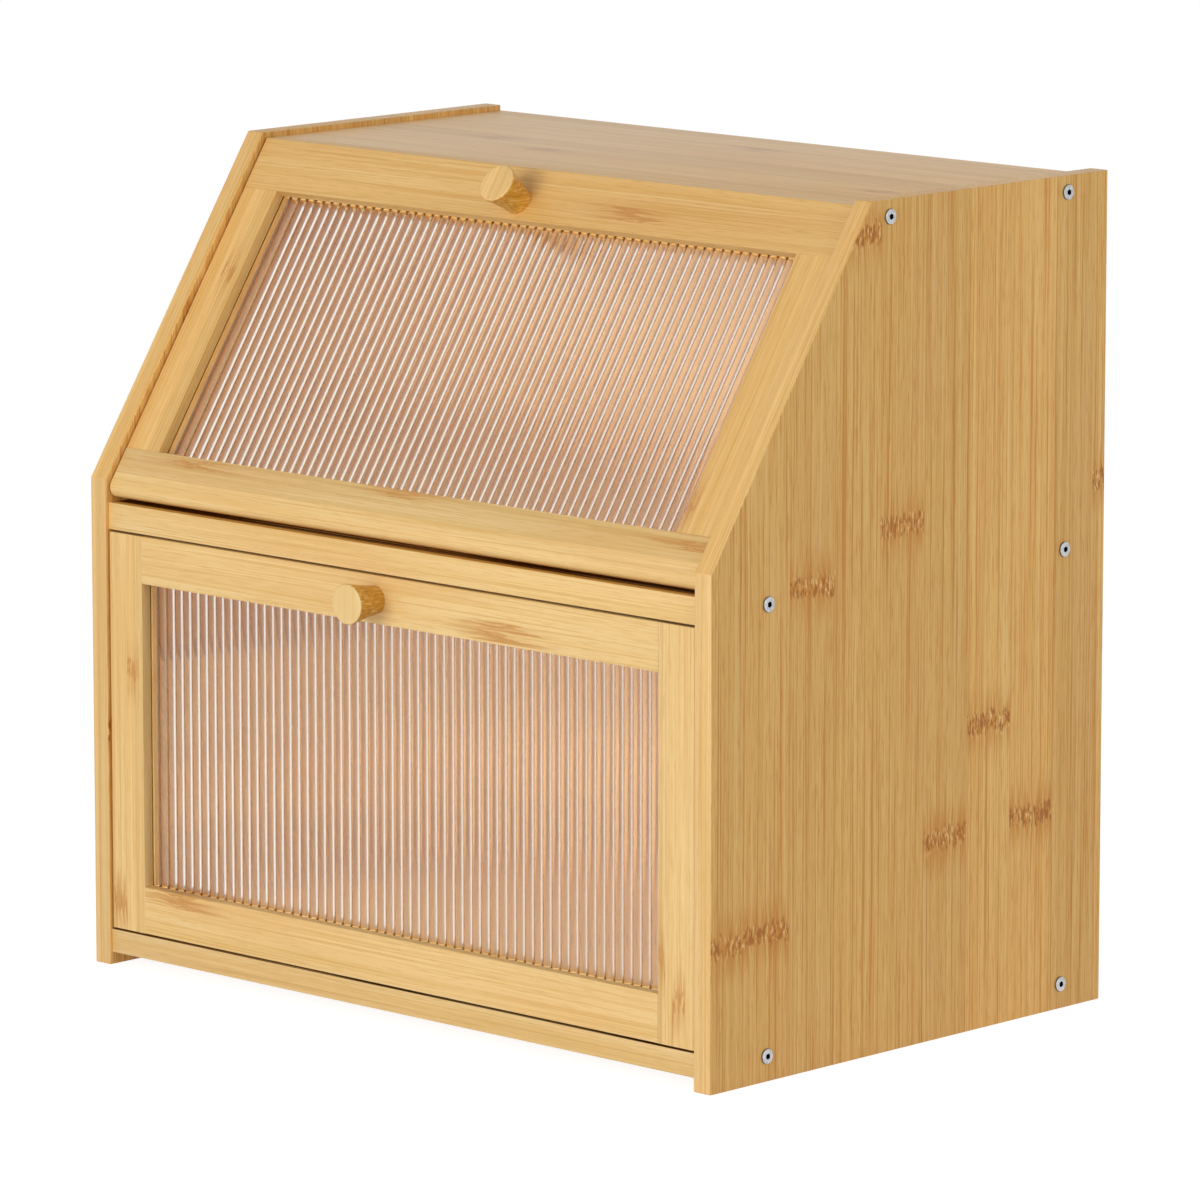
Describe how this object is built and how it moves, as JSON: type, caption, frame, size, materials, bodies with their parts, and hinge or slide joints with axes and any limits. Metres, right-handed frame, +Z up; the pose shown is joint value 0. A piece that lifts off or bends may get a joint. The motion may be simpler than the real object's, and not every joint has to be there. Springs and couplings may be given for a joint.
{
  "type": "bread box with drawer",
  "caption": "Slant-front bamboo bread box with a fluted flap door over a shelf and a fluted drawer below, each with a turned wooden knob.",
  "frame": {"origin": "centre of the bounding box, on the surface that the box stands on", "axes": "+X across the width, -Y towards the user at the door and drawer, +Z up"},
  "size_m": [0.392, 0.2786, 0.3814],
  "materials": {
    "bamboo_front": "satin",
    "bamboo_side": "satin",
    "bamboo_top": "satin",
    "bamboo_inner": "satin",
    "bamboo_knob": "satin",
    "fluted_acrylic": "gloss",
    "zinc_screw": "satin",
    "steel_pin": "satin"
  },
  "bodies": {
    "cabinet": {"side_panel_left": "bamboo_side", "side_panel_right": "bamboo_side", "top_panel": "bamboo_top", "shelf": "bamboo_front", "floor_panel": "bamboo_front", "back_panel": "bamboo_inner", "top_screws": "zinc_screw", "shelf_screws": "zinc_screw", "floor_screws": "zinc_screw", "hinge_pin_left": "steel_pin", "hinge_pin_right": "steel_pin"},
    "door": {"door_top_rail": "bamboo_front", "door_bottom_rail": "bamboo_front", "door_stile_left": "bamboo_front", "door_stile_right": "bamboo_front", "door_pane": "fluted_acrylic", "door_knob": "bamboo_knob", "door_knob_screw": "zinc_screw"},
    "drawer": {"drawer_front_top_rail": "bamboo_front", "drawer_front_bottom_rail": "bamboo_front", "drawer_front_stile_left": "bamboo_front", "drawer_front_stile_right": "bamboo_front", "drawer_pane": "fluted_acrylic", "drawer_knob": "bamboo_knob", "drawer_knob_screw": "zinc_screw", "drawer_side_left": "bamboo_inner", "drawer_side_right": "bamboo_inner", "drawer_back": "bamboo_inner", "drawer_bottom": "bamboo_inner", "drawer_dowels": "bamboo_inner", "drawer_screws": "zinc_screw"}
  },
  "joints": [
    {"name": "door_hinge", "type": "hinge", "parent": "cabinet", "child": "door", "pos_m": [0, -0.11556, 0.2252], "axis": [1, 0, 0], "range_deg": [0, 140]},
    {"name": "drawer_slide", "type": "slide", "parent": "cabinet", "child": "drawer", "axis": [0, -1, 0], "range_m": [0, 0.195]}
  ]
}
